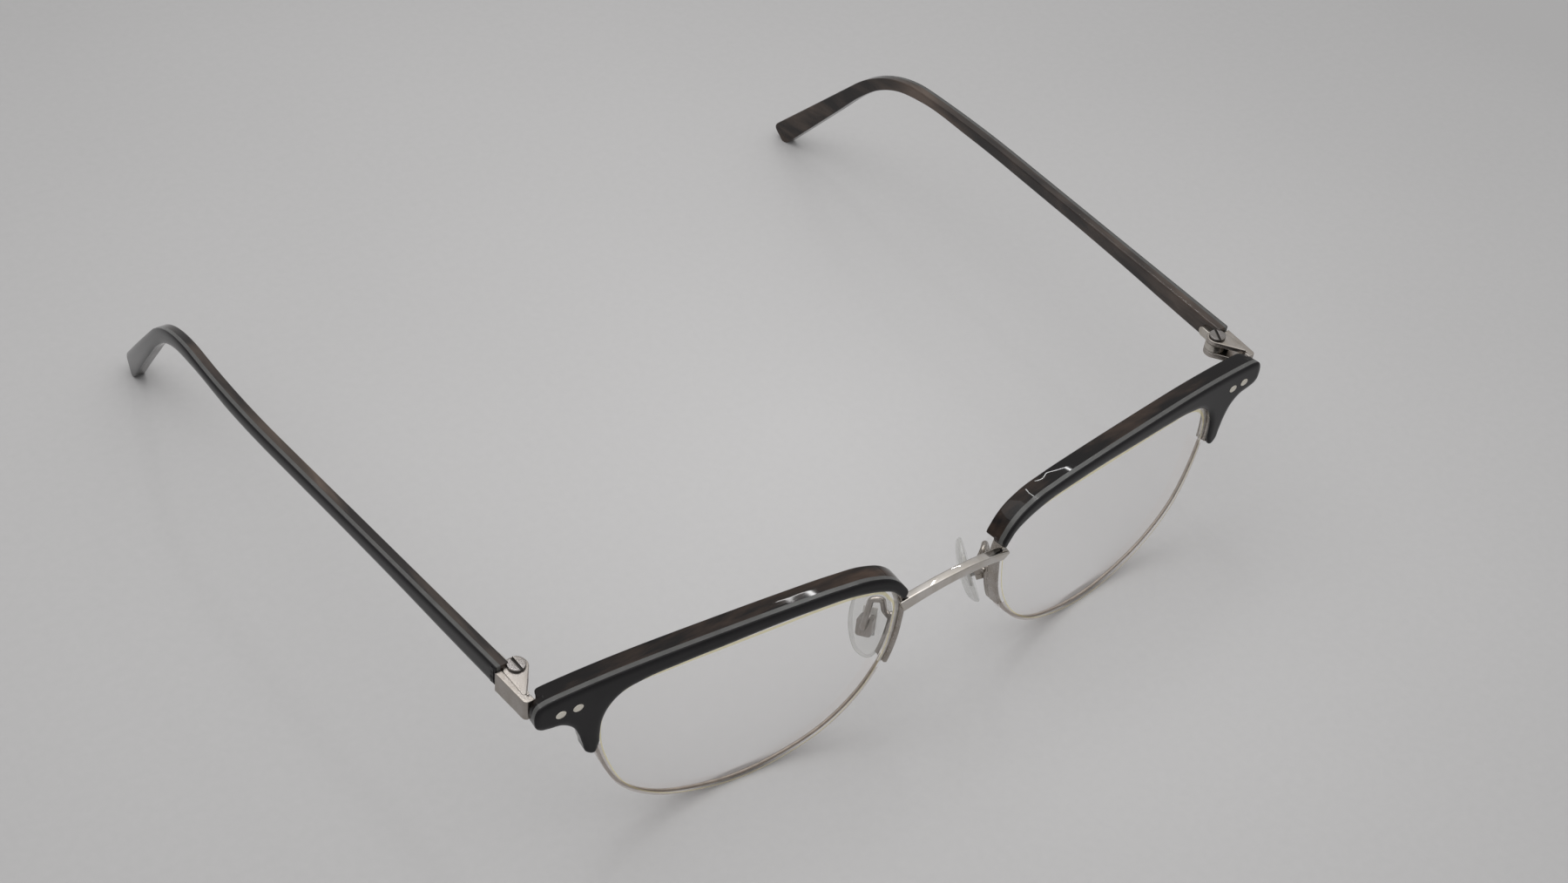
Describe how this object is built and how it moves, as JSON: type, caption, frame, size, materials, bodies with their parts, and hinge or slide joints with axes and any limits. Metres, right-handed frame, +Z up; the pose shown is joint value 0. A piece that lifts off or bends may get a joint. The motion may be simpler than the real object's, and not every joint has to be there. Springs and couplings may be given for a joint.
{
  "type": "half rim eyeglasses",
  "caption": "Half-rim eyeglasses with laminated brow bars on metal upper rims, cord-held lenses, a slim bridge, rocking nose pads and folding temples.",
  "frame": {"origin": "middle of the box that the open glasses fill, on the surface they stand on", "axes": "+X towards the right end as seen from the front, +Y towards the wearer and the temple tips, +Z up; the fronts of the lenses face -Y"},
  "size_m": [0.1508, 0.1342, 0.0337],
  "materials": {
    "lens_clear": "clear polished lens with satin ground edge",
    "cord_nylon": "translucent nylon cord",
    "liner_nylon": "translucent nylon rail",
    "rim_metal": "satin silver",
    "bridge_metal": "polished silver",
    "acetate_black": "polished black acetate",
    "acetate_pale": "polished pale grey-green acetate",
    "acetate_brown": "polished dark brown mottled acetate",
    "rivet_metal": "satin silver",
    "end_piece_metal": "satin silver",
    "screw_metal": "turned steel",
    "hinge_metal": "satin silver",
    "core_metal": "drawn wire",
    "pad_clear": "clear soft plastic",
    "pad_metal": "satin silver"
  },
  "bodies": {
    "front": {"bridge": "bridge_metal", "lens_right": "lens_clear", "lens_left": "lens_clear", "lens_cord_right": "cord_nylon", "lens_cord_left": "cord_nylon", "rim_liner_right": "liner_nylon", "rim_liner_left": "liner_nylon", "upper_rim_right": "rim_metal", "upper_rim_left": "rim_metal", "brow_face_right": "acetate_black", "brow_face_left": "acetate_black", "brow_stripe_right": "acetate_pale", "brow_stripe_left": "acetate_pale", "brow_back_right": "acetate_brown", "brow_back_left": "acetate_brown", "brow_rivets_right": "rivet_metal", "brow_rivets_left": "rivet_metal", "end_piece_right": "end_piece_metal", "end_piece_left": "end_piece_metal", "hinge_screw_right": "screw_metal", "hinge_screw_left": "screw_metal", "pad_arm_right": "pad_metal", "pad_arm_left": "pad_metal", "pad_box_right": "pad_metal", "pad_box_left": "pad_metal", "pad_pin_right": "pad_metal", "pad_pin_left": "pad_metal"},
    "temple_right_arm": {"temple_face_right": "acetate_black", "temple_stripe_right": "acetate_pale", "temple_back_right": "acetate_brown", "temple_core_right": "core_metal", "temple_hinge_right": "hinge_metal"},
    "nose_pad_right_rocker": {"nose_pad_right": "pad_clear", "pad_insert_right": "pad_metal"},
    "temple_left_arm": {"temple_face_left": "acetate_black", "temple_stripe_left": "acetate_pale", "temple_back_left": "acetate_brown", "temple_core_left": "core_metal", "temple_hinge_left": "hinge_metal"},
    "nose_pad_left_rocker": {"nose_pad_left": "pad_clear", "pad_insert_left": "pad_metal"}
  },
  "joints": [
    {"name": "temple_right_fold", "type": "hinge", "parent": "front", "child": "temple_right_arm", "pos_m": [0.06795, -0.05177, 0.0315], "axis": [0, 0, 1], "range_deg": [0, 90]},
    {"name": "temple_left_fold", "type": "hinge", "parent": "front", "child": "temple_left_arm", "pos_m": [-0.06795, -0.05177, 0.0315], "axis": [0, 0, -1], "range_deg": [0, 80]},
    {"name": "nose_pad_right_rock", "type": "hinge", "parent": "front", "child": "nose_pad_right_rocker", "pos_m": [0.01114, -0.06028, 0.01647], "axis": [-0.5515, -0.8272, 0.1079], "range_deg": [-8, 8]},
    {"name": "nose_pad_left_rock", "type": "hinge", "parent": "front", "child": "nose_pad_left_rocker", "pos_m": [-0.01114, -0.06028, 0.01647], "axis": [-0.5515, 0.8272, -0.1079], "range_deg": [-8, 8]}
  ]
}
